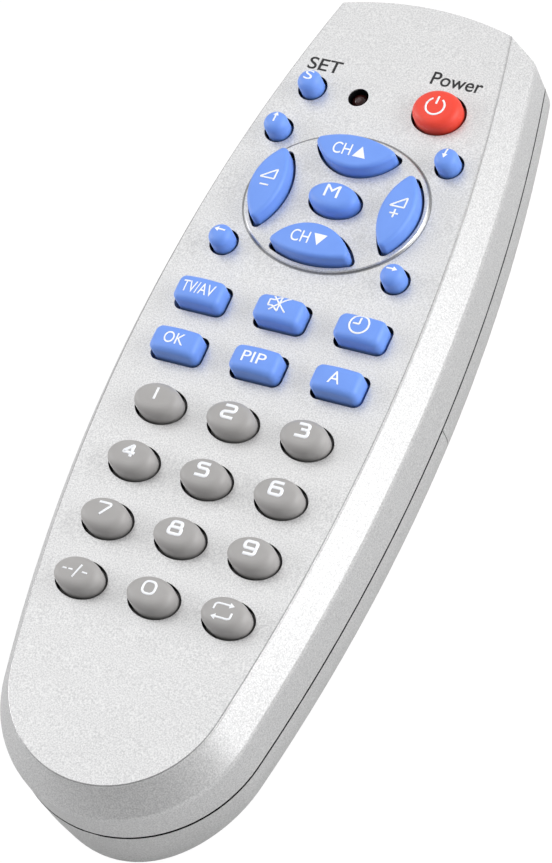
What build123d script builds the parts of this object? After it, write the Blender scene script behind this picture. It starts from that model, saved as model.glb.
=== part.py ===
from build123d import *
import os
from math import atan2, degrees, radians, sin, sqrt

# A hand-held remote control lying on its back, keys up, infrared end towards +Y, in millimetres.
# It is drawn about its widest place, then moved so that the origin is at the middle of its back,
# on the surface that the remote lies on.

# Body seen from above: two wide side arcs, a round rear end, a flatter front end cut square
half_width = 24.8
front_length = 66.4
rear_length = 69.3
side_radius = 281.2
front_radius = 50.6
corner_radius = 1.2

# Body seen from the side: flat parting plane, face crowned along its length
height = 22.7
parting = 10.1
crown_radius = 1190.0
face_step = 0.11
face_overlap = 0.2
face_edge_round = 0.25
shoulder_run = 3.2
shoulder_drop = 5.05
shoulder_round = 1.6
side_roll = 7.6
end_roll = 1.0
roll_levels = 6

# Walls and clearances
wall = 2.0
cover_wall = 1.8
sliding_gap = 0.5
seam_gap = 0.15
seam_depth = 0.8
cover_drop = 0.3
free_gap = 0.3
over = 1.0

# Raised island under the arrow keys
island_x = 14.7
island_y = 12.0
island_step = 0.35

# Key holes, by kind, at the face
digit_half_x = 4.2
digit_half_y = 3.1
function_width = 8.55
function_depth = 5.2
function_corner = 1.4
corner_key_radius = 2.3
power_half_x = 4.35
power_half_y = 3.8
menu_half_x = 4.4
menu_half_y = 2.9
arm_rim = 0.85
channel_arc = 8.0
channel_inner = 4.65
volume_arc = 10.7
volume_inner = 7.65
arm_tip_round = 0.8

# Key places on the face, row by row from the front end
top_row_setback = 18.0
top_row_y = front_length - top_row_setback
setup_x = -12.2
power_x = 8.95
island_setback = 18.6
island_centre = top_row_y - island_setback
corner_key_x = 14.2
corner_key_y = 10.3
function_setback = 20.1
function_first_row = island_centre - function_setback
function_pitch_x = 13.2
function_pitch_y = 8.75
digit_setback = 18.3
digit_first_row = function_first_row - digit_setback
digit_pitch_x = 12.0
digit_pitch_y = 9.65
digit_rows = 4
digit_last_row = digit_first_row - (digit_rows - 1) * digit_pitch_y

# Key caps and what is under them
key_gap = 0.45
key_stand = 3.0
power_stand = 2.4
key_travel = 1.0
dome_rise = 0.55
digit_round = 1.4
function_round = 1.0
small_round = 1.3
arm_round = 0.65
flange_width = 0.6
flange_thickness = 0.6
stem_inset = 0.8
stem_clearance = 0.35
pill_radius = 1.1
pill_thickness = 0.3

# Circuit board and the mat that lies on it
board_top = 16.3
board_thickness = 1.6
board_inset = 3.7
board_setback = 11.4
board_front = front_length - board_setback
board_tail = 8.45
board_rear = digit_last_row - board_tail
mat_inset = 4.2
mat_setback = 1.5
mat_front = board_front - mat_setback
mat_tail = 5.95
mat_rear = digit_last_row - mat_tail
mat_clearance = 0.65

# Battery tray, part of the lower case, and its sliding cover
seam = 4.2
tray_top = 14.1
tray_wall = 1.8
bulkhead = 1.5
rail_depth = 1.0
rail_bottom = 8.3
lip_reach = 1.2
lip_height = 1.0
lip_length = 10.0
lip_front_y = -4.0
lip_rear_y = -30.0
tongue_half = 2.2
tongue_thickness = 1.0
tongue_reach = 3.0
grip_grooves = 5
grip_pitch = 2.2
grip_width = 1.0
grip_half_length = 7.0
grip_depth = 0.4

# Cells and their contacts
cell_radius = 5.25
cell_length = 44.5
cell_x = 5.6
cell_round = 0.6
nub_radius = 1.9
nub_length = 1.0
contact_thickness = 0.4
contact_half_width = 4.2
contact_bottom = 3.4
spring_length = 5.0
spring_wire = 0.5
spring_radius = 3.2
spring_tip_radius = 2.1
spring_turns = 4
bay_side_gap = 0.6
bay_wall = 1.2

# Screws that hold the two halves together
screw_x = 18.2
screw_setback = 4.8
screw_y = digit_first_row - screw_setback
screw_radius = 1.1
screw_head_radius = 2.2
screw_head_height = 1.6
screw_length = 11.0
screw_seat = 7.0
screw_slot_width = 0.7
screw_slot_depth = 0.7
boss_radius = 2.7
post_radius = 2.3
thread_gap = 0.1

# Small posts that hold the board, and the tongues that line up the front end
stop_radius = 1.2
stop_x = 18.6
stop_y = 30.0
pad_radius = 2.0
pad_x = 8.0
pad_front_y = -8.0
pad_rear_y = -40.0
support_x = 15.0
support_y = 40.0
support_radius = 2.2
aligner_x = 7.0
aligner_setback = 4.8
aligner_y = front_length - aligner_setback
aligner_width = 6.0
aligner_thickness = 1.2
aligner_rise = 3.0

# Lamps
lamp_x = -4.5
lamp_hole_radius = 1.6
lamp_radius = 1.5
lamp_flange_radius = 1.9
lamp_flange = 1.0
lamp_sink = 0.45
emitter_z = 13.4
emitter_radius = 2.5
emitter_hole_radius = 2.65
emitter_flange_radius = 2.9
emitter_flange = 1.0
emitter_length = 8.6
emitter_sink = 0.3
lead_thickness = 0.5
lead_spread = 1.27

# Parts soldered under the board
chip_radius = 5.5
chip_height = 1.8
chip_y = 22.0
resonator_width = 7.0
resonator_depth = 3.0
resonator_height = 7.5
resonator_x = -11.0
resonator_y = 33.0
resonator_round = 0.8
capacitor_radius = 2.5
capacitor_length = 10.0
capacitor_x = 10.0
capacitor_y = 30.0
capacitor_edge = 0.3
transistor_radius = 2.3
transistor_flat = 1.2
transistor_length = 4.6
transistor_x = 10.0
transistor_setback = 5.0
transistor_y = board_front - transistor_setback
resistor_radius = 0.9
resistor_length = 4.0
resistor_pitch = 4.5
resistor_first_x = -14.0
resistor_setback = 7.0
resistor_y = board_front - resistor_setback
resistor_count = 4
lead_length = 1.2


# Shapes shared by the two halves

def outline(side_inset, end_inset, front=front_length, corner=corner_radius):
    """The body's plan, drawn in at its sides and at its two ends."""
    half = half_width - side_inset
    side = side_radius - side_inset
    rear = rear_length - end_inset
    nose = front_radius - end_inset
    corner = max(corner - end_inset, free_gap)
    side_centre = Vector(half - side, 0)
    nose_centre = Vector(0, front - front_radius)
    heel = (side ** 2 - (side - half) ** 2 - rear ** 2) / (2 * (side - rear))
    heel_centre = Vector(0, heel - rear)
    corner_centre = crossing(side_centre, side - corner, nose_centre, nose - corner)
    along_side = (corner_centre - side_centre).normalized()
    along_nose = (corner_centre - nose_centre).normalized()
    along_heel = (heel_centre - side_centre).normalized()
    side_front = side_centre + along_side * side
    side_rear = side_centre + along_heel * side
    nose_end = nose_centre + along_nose * nose
    nose_middle = nose_centre + (along_nose + Vector(0, 1)).normalized() * nose
    corner_middle = corner_centre + (along_side + along_nose).normalized() * corner
    heel_middle = heel_centre + (along_heel + Vector(0, -1)).normalized() * heel
    half_wire = Wire([
        ThreePointArc(Vector(0, front - end_inset), nose_middle, nose_end),
        ThreePointArc(nose_end, corner_middle, side_front),
        ThreePointArc(side_front, Vector(half, 0), side_rear),
        ThreePointArc(side_rear, heel_middle, Vector(0, -rear)),
    ])
    return make_face(half_wire.edges() + mirror(half_wire, about=Plane.YZ).edges())


def long_outline(inset):
    """The plan with its sides run on past the front end, which is cut off square later."""
    return outline(inset, inset, front_length + 3 * shoulder_run, shoulder_run + free_gap + inset)


def crossing(first, first_reach, second, second_reach):
    """The front one of the two points that lie at given reaches from two centres."""
    way = second - first
    span = way.length
    along = (first_reach ** 2 - second_reach ** 2 + span ** 2) / (2 * span)
    across = sqrt(first_reach ** 2 - along ** 2)
    unit = way.normalized()
    return first + unit * along + Vector(-unit.Y, unit.X) * across


def arch_height(y, drop):
    """Height of the crowned face, or of a surface that lies evenly below it."""
    reach = crown_radius - drop
    return height - drop - reach + sqrt(reach ** 2 - y ** 2)


def under_arch(drop, bottom):
    """Everything between a level and the arch that lies a given drop below the face."""
    far = max(front_length + 4 * shoulder_run, rear_length + 3 * shoulder_run)
    ends = arch_height(far, drop)
    arch = ThreePointArc((-far, ends), (0, height - drop), (far, ends))
    base = Polyline((far, ends), (far, bottom), (-far, bottom), (-far, ends))
    side_view = Plane.YZ * make_face(Wire([arch, *base.edges()]))
    return extrude(side_view, amount=half_width + over, both=True)


def column(face, low, high):
    """A flat plan raised from one level to another."""
    return Pos(0, 0, low) * extrude(face, amount=high - low)


def block(low_corner, high_corner):
    """A box between two corners."""
    sizes = [b - a for a, b in zip(low_corner, high_corner)]
    middle = [(a + b) / 2 for a, b in zip(low_corner, high_corner)]
    return Pos(*middle) * Box(*sizes)


def behind(y, gap):
    """All of the space on the rear side of a line across the body."""
    reach = half_width + over
    return block((-reach, -rear_length - over, -over), (reach, y - gap, height + over))


def ahead(y):
    """All of the space on the front side of a line across the body."""
    reach = half_width + over
    return block((-reach, y, -over), (reach, front_length + over, height + over))


def upper_form(inset, low, soften):
    """The upper half as a solid lump: upright wall, crowned top, shoulders at the sides and rear."""
    lump = column(long_outline(inset), low, height + over) & under_arch(face_step + inset, low - over)
    top = lump.faces().sort_by(Axis.Z)[-1]
    lump = chamfer(top.edges(), length=shoulder_run, length2=shoulder_drop, reference=top)
    if soften:
        lump = fillet([edge for edge in lump.edges() if is_crease(edge, low)], shoulder_round)
    return lump & column(outline(inset, inset), low, height + over)


def is_crease(edge, low):
    """Whether an edge runs along the foot of the shoulder."""
    middle = edge.center()
    lift = middle.Z - arch_height(middle.Y, face_step + shoulder_drop)
    box = edge.bounding_box()
    return box.min.Z > low and box.size.Z < shoulder_drop / 2 and abs(lift) < over


def lower_form(inset):
    """The lower half as a solid lump: upright at the parting, rolled under at the sides and ends."""
    side = side_roll - inset
    end = max(end_roll - inset, 0)
    sections = [Pos(0, 0, parting) * outline(inset, inset)]
    for level in range(roll_levels + 1):
        rise = side * (1 - sin(radians(90 * level / roll_levels)))
        side_in = side - sqrt(max(side ** 2 - (side - rise) ** 2, 0))
        end_rise = min(rise, end)
        end_in = end - sqrt(max(end ** 2 - (end - end_rise) ** 2, 0))
        sections.append(Pos(0, 0, rise + inset) * outline(inset + side_in, inset + end_in))
    return loft(sections)


def tub(inset, top):
    """The lower half's lump carried straight up to a level."""
    return lower_form(inset) + column(outline(inset, inset), parting, top)


# Keys

def ellipse_plan(half_x, half_y):
    """A plan that gives an ellipse grown by an amount."""
    return lambda grow: Ellipse(half_x + grow, half_y + grow)


def round_plan(radius):
    """A plan that gives a circle grown by an amount."""
    return lambda grow: Circle(radius + grow)


def bar_plan(width, depth, corner):
    """A plan that gives a rectangle with round corners, grown by an amount."""
    return lambda grow: RectangleRounded(width + 2 * grow, depth + 2 * grow, corner + grow / 2)


def arm_plan(arc, inner, turn, middle):
    """A plan that gives a lens between the island's rim and an arc, about its own middle."""
    def grown(grow):
        rim = Ellipse(island_x - arm_rim + grow, island_y - arm_rim + grow)
        bow = Rot(0, 0, turn) * Pos(inner + arc, 0) * Circle(arc + grow)
        lens = rim & bow
        return Pos(-middle[0], -middle[1]) * fillet(lens.vertices(), arm_tip_round)
    return grown


def key_table():
    """Every key: its name, plan, place, half lengths, height above the face and roundness of its cap."""
    digit = ellipse_plan(digit_half_x, digit_half_y)
    bar = bar_plan(function_width, function_depth, function_corner)
    small = round_plan(corner_key_radius)
    keys = []
    digits = (("one", "two", "three"), ("four", "five", "six"), ("seven", "eight", "nine"),
              ("dash", "zero", "swap"))
    for row, names in enumerate(digits):
        for column_number, name in enumerate(names):
            place = ((column_number - 1) * digit_pitch_x, digit_first_row - row * digit_pitch_y)
            half = (digit_half_x, digit_half_y)
            keys.append((f"key_{name}", digit, place, half, key_stand, digit_round))
    for row, names in enumerate((("input", "mute", "timer"), ("ok", "pip", "a"))):
        for column_number, name in enumerate(names):
            place = ((column_number - 1) * function_pitch_x, function_first_row - row * function_pitch_y)
            half = (function_width / 2, function_depth / 2)
            keys.append((f"key_{name}", bar, place, half, key_stand, function_round))
    small_half = (corner_key_radius, corner_key_radius)
    for name, side, end in (("up", -1, 1), ("down", 1, 1), ("left", -1, -1), ("right", 1, -1)):
        place = (side * corner_key_x, island_centre + end * corner_key_y)
        keys.append((f"key_{name}", small, place, small_half, key_stand, small_round))
    keys.append(("key_setup", small, (setup_x, top_row_y), small_half, key_stand, small_round))
    power = ellipse_plan(power_half_x, power_half_y)
    half = (power_half_x, power_half_y)
    keys.append(("key_power", power, (power_x, top_row_y), half, power_stand, digit_round))
    menu = ellipse_plan(menu_half_x, menu_half_y)
    half = (menu_half_x, menu_half_y)
    keys.append(("key_menu", menu, (0, island_centre), half, key_stand, small_round))
    channel_middle = (channel_inner + island_y - arm_rim) / 2
    volume_middle = (volume_inner + island_x - arm_rim) / 2
    arms = (
        ("key_channel_up", channel_arc, channel_inner, 90, (0, channel_middle)),
        ("key_channel_down", channel_arc, channel_inner, -90, (0, -channel_middle)),
        ("key_volume_down", volume_arc, volume_inner, 180, (-volume_middle, 0)),
        ("key_volume_up", volume_arc, volume_inner, 0, (volume_middle, 0)),
    )
    for name, arc, inner, turn, middle in arms:
        plan = arm_plan(arc, inner, turn, middle)
        half = plan(0).bounding_box().size * 0.5
        place = (middle[0], island_centre + middle[1])
        keys.append((name, plan, place, (half.X, half.Y), key_stand, arm_round))
    return keys


def ceiling(y, half):
    """Lowest height of the inside of the face over a key and its flange."""
    return arch_height(abs(y) + half + flange_width, face_step + wall)


def key_solid(plan, place, half, stand, softness, room):
    """One key: domed cap, flange that keeps it in, stem, and the pill that closes the contact."""
    x, y = place
    crown = arch_height(y, 0) + stand
    flange_top = ceiling(y, half[1]) - free_gap
    flange_bottom = flange_top - flange_thickness
    stem_bottom = board_top + key_travel + free_gap / 2 + pill_thickness
    dome = max(half) ** 2 / (2 * dome_rise)
    cap = column(plan(-key_gap), flange_top, crown + over) & Pos(0, 0, crown - dome) * Sphere(dome)
    cap = fillet(cap.faces().sort_by(Axis.Z)[-1].edges(), softness)
    flange = Pos(x, y) * column(plan(flange_width), flange_bottom, flange_top) & room
    stem = column(plan(-stem_inset), stem_bottom, flange_bottom)
    pill = column(Circle(pill_radius), stem_bottom - pill_thickness, stem_bottom)
    return [Pos(x, y) * (cap + stem) + flange, Pos(x, y) * pill]


def cut_at_keys(body, keys, grow, low, high):
    """A body with an opening for every key."""
    for _, plan, place, *_ in keys:
        body -= Pos(*place) * column(plan(grow), low, high)
    return body


# Upper case, mat and board

def upper_case(keys):
    """The upper half: face plate, shoulder and side wall in one moulding."""
    rim = shoulder_run - face_overlap
    face = column(long_outline(rim), parting, height + over) & under_arch(0, parting)
    face = fillet(face.faces().sort_by(Axis.Z)[-1].edges(), face_edge_round)
    face &= column(outline(0, 0), parting, height + over)
    island = column(Pos(0, island_centre) * Ellipse(island_x, island_y), parting, height + over)
    island &= under_arch(-island_step, parting)
    island = chamfer(island.faces().sort_by(Axis.Z)[-1].edges(), island_step)
    shell = upper_form(0, parting, True) + face + island
    shell -= upper_form(wall, parting - over, False)
    shell = cut_at_keys(shell, keys, 0, board_top, height + key_stand)
    shell -= Pos(lamp_x, top_row_y) * column(Circle(lamp_hole_radius), board_top, height + over)
    shell -= Pos(0, front_length, emitter_z) * Rot(90, 0, 0) * Cylinder(emitter_hole_radius, 4 * wall)
    core = upper_form(wall / 2, parting - over, False)
    for x in (-stop_x, stop_x):
        for y in (-stop_y, stop_y):
            shell += Pos(x, y) * column(Circle(stop_radius), board_top, height) & core
    thread_end = screw_seat + screw_length + thread_gap
    for x in (-screw_x, screw_x):
        shell += Pos(x, screw_y) * column(Circle(post_radius), tray_top, height) & core
        shell -= Pos(x, screw_y) * column(Circle(screw_radius + thread_gap), tray_top - over, thread_end)
    return shell


def posts(radius_gain):
    """Plans of the posts that come down from the upper case, grown by a clearance."""
    stops = [Pos(x, y) * Circle(stop_radius + radius_gain)
             for x in (-stop_x, stop_x) for y in (-stop_y, stop_y)]
    screws = [Pos(x, screw_y) * Circle(post_radius + radius_gain) for x in (-screw_x, screw_x)]
    return stops, screws


def mat(keys):
    """The rubber web that the keys come up through, lying on the board."""
    web = column(outline(mat_inset, mat_inset), board_top, height)
    top_drop = face_step + wall + free_gap + flange_thickness + key_travel + mat_clearance
    web &= under_arch(top_drop, 0)
    web &= block((-half_width, mat_rear, 0), (half_width, mat_front, height))
    web = cut_at_keys(web, keys, stem_clearance - stem_inset, board_top - over, height)
    stops, screws = posts(free_gap)
    for hole in stops + screws + [Pos(lamp_x, top_row_y) * Circle(lamp_flange_radius + free_gap)]:
        web -= column(hole, board_top - over, height)
    return web


def board():
    """The printed circuit board under the mat."""
    plate = column(outline(board_inset, board_inset), board_top - board_thickness, board_top)
    plate &= block((-half_width, board_rear, 0), (half_width, board_front, height))
    for hole in posts(free_gap)[1]:
        plate -= column(hole, 0, height)
    notch = post_radius + free_gap
    for side in (-1, 1):
        ends = sorted((side * screw_x, side * half_width))
        plate -= block((ends[0], screw_y - notch, 0), (ends[1], screw_y + notch, height))
    return plate


# Lower case and battery cover

bay_front = seam - bulkhead - bay_wall
bay_length = 2 * contact_thickness + spring_length + cell_length
bay_rear = bay_front - bay_length
tray_inset = cover_wall + sliding_gap
cell_z = tray_inset + cell_radius
bay_roof = cell_z + cell_radius + free_gap
bay_half = cell_x + cell_radius + bay_side_gap


def lower_case():
    """The front part of the lower half, with the battery tray that reaches back under the cover."""
    shell = lower_form(0) - lower_form(cover_wall)
    shell &= ahead(seam)
    seam_ring = outline(-over, -over) - outline(seam_depth, seam_depth)
    shell -= column(seam_ring, parting - seam_gap, parting + over)
    wall_across = lower_form(0) & block((-half_width, seam, 0), (half_width, seam + bulkhead, parting))
    tray = tub(tray_inset, tray_top) & behind(seam + bulkhead, 0)
    tray &= upper_form(wall + free_gap, -over, False)
    pockets = tub(tray_inset + tray_wall, tray_top + over) & behind(seam - bulkhead, 0)
    bay_outer = bay_half + bay_wall
    pockets -= block((-bay_outer, bay_rear - bay_wall, 0), (bay_outer, seam, tray_top))
    for x in (-screw_x, screw_x):
        pockets -= Pos(x, screw_y) * column(Circle(boss_radius), 0, tray_top)
    case = shell + wall_across + tray - pockets
    case -= block((-bay_half, bay_rear, -over), (bay_half, bay_front, bay_roof))
    rail = tray_inset + rail_depth
    rail_top = rail_bottom + lip_height + 2 * free_gap
    groove = column(outline(0, 0) - outline(rail, rail), rail_bottom, rail_top)
    case -= groove & behind(seam, 0)
    channel = tongue_half + free_gap
    channel_end = seam + tongue_reach + free_gap
    channel_top = cover_wall + tongue_thickness + 2 * free_gap
    case -= block((-channel, -rear_length, cover_wall), (channel, channel_end, channel_top))
    return finish_lower_case(case)


def finish_lower_case(case):
    """The tray's screw holes and contact slots, and the posts that carry the board."""
    for x in (-screw_x, screw_x):
        at = Pos(x, screw_y)
        case -= at * column(Circle(screw_radius + thread_gap), 0, tray_top + over)
        case -= at * column(Circle(screw_head_radius + free_gap), 0, screw_seat)
    board_bottom = board_top - board_thickness
    slot_half = contact_half_width + thread_gap
    for side in (-1, 1):
        x = side * cell_x
        case -= block((x - slot_half, bay_front - contact_thickness, bay_roof - over),
                      (x + slot_half, bay_front, tray_top + over))
        for y in (pad_front_y, pad_rear_y):
            case += Pos(side * pad_x, y) * column(Circle(pad_radius), tray_top, board_bottom)
        support = column(Circle(support_radius), cover_wall, board_bottom)
        case += Pos(side * support_x, support_y) * support
        x = side * aligner_x
        case += block((x - aligner_width / 2, aligner_y, cover_wall),
                      (x + aligner_width / 2, aligner_y + aligner_thickness, parting + aligner_rise))
    return case


def cover():
    """The battery cover: floor, both sides and rear end, drawn off towards the rear."""
    shell = lower_form(0) - lower_form(cover_wall)
    top = parting - cover_drop
    shell &= behind(seam, seam_gap) & block((-half_width, -rear_length, 0), (half_width, seam, top))
    lip_bottom = rail_bottom + free_gap
    outer, inner = cover_wall / 2, cover_wall + lip_reach
    lips = column(outline(outer, outer) - outline(inner, inner), lip_bottom, lip_bottom + lip_height)
    for y in (lip_front_y, lip_rear_y):
        span = block((-half_width, y - lip_length / 2, 0), (half_width, y + lip_length / 2, parting))
        shell += lips & span
    low = cover_wall + free_gap / 2
    root, tip = seam - tongue_reach, seam + tongue_reach
    shell += block((-tongue_half, root, cover_wall / 2),
                   (tongue_half, seam - seam_gap, low + tongue_thickness))
    shell += block((-tongue_half, root, low), (tongue_half, tip, low + tongue_thickness))
    for number in range(grip_grooves):
        y = seam - 2 * tongue_reach - number * grip_pitch
        shell -= block((-grip_half_length, y - grip_width / 2, -over),
                       (grip_half_length, y + grip_width / 2, grip_depth))
    return shell


# Batteries, contacts and screws

def cell(x, nub_forward):
    """One battery cell, its raised end towards the front or towards the rear."""
    can_length = cell_length - nub_length
    can = Cylinder(cell_radius, can_length)
    can = fillet(can.edges(), cell_round)
    can += Pos(0, 0, can_length / 2) * Cylinder(nub_radius, 2 * nub_length)
    nub_end = bay_front - contact_thickness if nub_forward else bay_rear + contact_thickness
    way = -1 if nub_forward else 1
    middle = nub_end + way * (nub_length + can_length / 2)
    return Pos(x, middle, cell_z) * Rot(way * 90, 0, 0) * can


def coil_spring(x, base, way):
    """A conical coil from a contact plate at base to the flat end of a cell."""
    rise = spring_length - spring_wire
    cone = degrees(atan2(spring_tip_radius - spring_radius, rise))
    path = Helix(pitch=rise / spring_turns, height=rise, radius=spring_radius, cone_angle=cone)
    section = Plane(path @ 0, z_dir=path % 0) * Circle(spring_wire / 2)
    coil = sweep(section, path=path)
    return Pos(x, base + way * spring_wire / 2, cell_z) * Rot(-way * 90, 0, 0) * coil


def contact_plate(x, low_y, top):
    """One upright contact plate of the tray, as deep as its sheet."""
    return block((x - contact_half_width, low_y, contact_bottom),
                 (x + contact_half_width, low_y + contact_thickness, top))


def contacts():
    """The tray's contacts: one sprung and one plain at the front, and the link across the rear."""
    front = bay_front - contact_thickness
    under_board = board_top - board_thickness
    sprung = [contact_plate(cell_x, front, under_board), coil_spring(cell_x, front, -1)]
    plain = [contact_plate(-cell_x, front, under_board)]
    reach = cell_x + contact_half_width
    bar = block((-reach, bay_rear, contact_bottom),
                (reach, bay_rear + contact_thickness, bay_roof - free_gap))
    link = [bar, coil_spring(-cell_x, bay_rear + contact_thickness, 1)]
    return {"negative_contact": sprung, "positive_contact": plain, "link_contact": link}


def screw(x):
    """A self-tapping screw from the tray up into the upper case, with a crossed slot."""
    shank = column(Circle(screw_radius), screw_seat, screw_seat + screw_length)
    head = column(Circle(screw_head_radius), screw_seat - screw_head_height, screw_seat)
    low = screw_seat - screw_head_height
    for turn in (0, 90):
        reach = screw_head_radius - screw_slot_width
        slot = block((-reach, -screw_slot_width / 2, low - over),
                     (reach, screw_slot_width / 2, low + screw_slot_depth))
        head -= Rot(0, 0, turn) * slot
    return Pos(x, screw_y) * (shank + head)


# Lamps and the parts on the board

def lamp(radius, length, flange_radius, flange):
    """A round lamp body standing on its flange at the origin, with a domed tip."""
    barrel = column(Circle(radius), 0, length - radius) + Pos(0, 0, length - radius) * Sphere(radius)
    return barrel + column(Circle(flange_radius), 0, flange)


def indicator():
    """The small lamp that stands on the board and shows through the face."""
    length = arch_height(top_row_y, 0) - lamp_sink - board_top
    body = lamp(lamp_radius, length, lamp_flange_radius, lamp_flange)
    return [Pos(lamp_x, top_row_y, board_top) * body]


def emitter():
    """The infrared lamp that points out of the front wall, with its two leads up to the board."""
    tip = front_length - emitter_sink
    base = tip - emitter_length
    body = Pos(0, base, emitter_z) * Rot(-90, 0, 0) * lamp(emitter_radius, emitter_length,
                                                         emitter_flange_radius, emitter_flange)
    board_bottom = board_top - board_thickness
    half = lead_thickness / 2
    rear = board_front - 2 * lead_length
    low = emitter_z - half
    leads = []
    for x in (-lead_spread, lead_spread):
        run = block((x - half, rear, low), (x + half, base, emitter_z + half))
        leads.append(run + block((x - half, rear, low), (x + half, rear + lead_thickness, board_bottom)))
    return [body, *leads]


def under_board(height_needed):
    """Level of the middle of a part that hangs a given height below the board."""
    return board_top - board_thickness - height_needed / 2


def board_parts():
    """Everything soldered to the underside of the board."""
    board_bottom = board_top - board_thickness
    chip = Pos(0, chip_y) * column(Circle(chip_radius), board_bottom - chip_height, board_bottom)
    chip = fillet(chip.faces().sort_by(Axis.Z)[0].edges(), chip_height / 2)
    slab = Box(resonator_width, resonator_depth, resonator_height)
    slab = Pos(resonator_x, resonator_y, under_board(resonator_height)) * slab
    slab = fillet(slab.edges().filter_by(Axis.Z), resonator_round)
    can = Rot(90, 0, 0) * Cylinder(capacitor_radius, capacitor_length)
    can = fillet(can.edges(), capacitor_edge)
    can = Pos(capacitor_x, capacitor_y, board_bottom - capacitor_radius) * can
    case = Cylinder(transistor_radius, transistor_length)
    case = Pos(transistor_x, transistor_y, under_board(transistor_length)) * case
    flat = transistor_y - transistor_flat
    case &= block((-half_width, flat, 0), (half_width, front_length, height))
    resistors = []
    for number in range(resistor_count):
        x = resistor_first_x + number * resistor_pitch
        tube = Rot(90, 0, 0) * Cylinder(resistor_radius, resistor_length)
        resistors.append(Pos(x, resistor_y, board_bottom - resistor_radius) * tube)
    return {
        "control_chip": [chip],
        "resonator": [slab],
        "filter_capacitor": [can],
        "drive_transistor": [case],
        "resistors": resistors,
    }


def build():
    """Every node of the remote control, as lists of solids."""
    keys = key_table()
    nodes = {
        "upper_case": [upper_case(keys)],
        "lower_case": [lower_case()],
        "battery_cover": [cover()],
        "keypad_mat": [mat(keys)],
        "circuit_board": [board()],
        "indicator_lamp": indicator(),
        "infrared_lamp": emitter(),
        "battery_left": [cell(-cell_x, True)],
        "battery_right": [cell(cell_x, False)],
        "case_screws": [screw(-screw_x), screw(screw_x)],
    }
    nodes.update(contacts())
    nodes.update(board_parts())
    room = upper_form(wall + free_gap, -over, False)
    for name, *shape in keys:
        nodes[name] = key_solid(*shape, room)
    return nodes


os.makedirs("parts", exist_ok=True)
to_middle = Pos(0, (rear_length - front_length) / 2)
for node, solids in build().items():
    solids = [to_middle * solid for solid in solids]
    export_step(Compound(children=solids), f"parts/{node}.step")
    print(node, round(sum(solid.volume for solid in solids), 2))
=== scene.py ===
# %% [markdown]
# # A universal remote control
# The remote lies on its back on a pale table, keys up, its infrared end towards +Y.
# Every length here is in metres, in the frame of the CAD model, whose origin is under the
# middle of the back. The CAD solids already have the right shapes and sizes, so this lesson
# is about what they lack: paint, rubber, printed legends, light and a camera.

# %% Load the model
from math import cos, radians, sin

import bmesh
import bpy
from mathutils import Matrix, Vector


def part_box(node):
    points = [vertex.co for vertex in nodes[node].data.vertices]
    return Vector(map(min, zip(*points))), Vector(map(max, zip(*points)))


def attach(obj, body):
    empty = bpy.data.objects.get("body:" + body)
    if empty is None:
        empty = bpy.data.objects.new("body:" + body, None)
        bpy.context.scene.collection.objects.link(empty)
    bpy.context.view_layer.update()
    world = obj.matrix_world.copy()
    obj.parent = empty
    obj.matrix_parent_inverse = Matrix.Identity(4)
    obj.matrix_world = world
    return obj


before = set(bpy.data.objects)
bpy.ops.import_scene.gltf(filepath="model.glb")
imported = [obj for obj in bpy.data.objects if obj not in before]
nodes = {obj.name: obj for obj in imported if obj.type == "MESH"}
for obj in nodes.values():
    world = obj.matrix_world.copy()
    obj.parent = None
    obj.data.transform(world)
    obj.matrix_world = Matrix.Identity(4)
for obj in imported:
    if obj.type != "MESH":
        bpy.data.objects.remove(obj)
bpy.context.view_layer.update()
mm = 0.001

# %% [markdown]
# ## One helper for node trees, and one for colours
# Materials and Geometry Nodes are both trees of nodes. One small function adds a node, gives it
# its settings and joins its inputs. An input is either a plain value or the output of another node.
# A second one turns the hex digits of a colour, as a paint program shows them, to Blender's values.

# %% Add a node, read a colour
def add(tree, kind, inputs=None, **settings):
    """Add a node of a kind, with its settings, and fill or link its inputs."""
    node = tree.nodes.new(kind)
    for name, value in settings.items():
        setattr(node, name, value)
    for name, value in (inputs or {}).items():
        if isinstance(value, bpy.types.NodeSocket):
            tree.links.new(value, node.inputs[name])
        else:
            node.inputs[name].default_value = value
    return node


def linear(code):
    """A colour written as sRGB hex digits, in the linear values that Blender reckons in."""
    parts = [int(code[i:i + 2], 16) / 255 for i in (0, 2, 4)]
    return (*(p / 12.92 if p <= 0.04045 else ((p + 0.055) / 1.055) ** 2.4 for p in parts), 1.0)


print("mid grey 808080 is", [round(c, 3) for c in linear("808080")])

# %% [markdown]
# ## Materials start from a plain surface
# Each material is a Principled shader that reads Object coordinates, so that its pattern stays
# put on the piece. The starting point below gives the shader, and each finish adds its own nodes.
# A noise texture's scale is one over the width of its lumps. A metal keeps Blender's own index of
# refraction, because its colour already says how it reflects.

# %% Start a material
def start(name, metallic, roughness, ior=None):
    """A new material with its tree, its shader and the piece's own coordinates."""
    material = bpy.data.materials.new(name)
    material.use_nodes = True
    tree = material.node_tree
    shader = tree.nodes["Principled BSDF"]
    shader.inputs["Metallic"].default_value = metallic
    shader.inputs["Roughness"].default_value = roughness
    if ior is not None:
        shader.inputs["IOR"].default_value = ior
    place = add(tree, "ShaderNodeTexCoord").outputs["Object"]
    return material, tree, shader, place


print("a material is started by", start.__name__)

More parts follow.
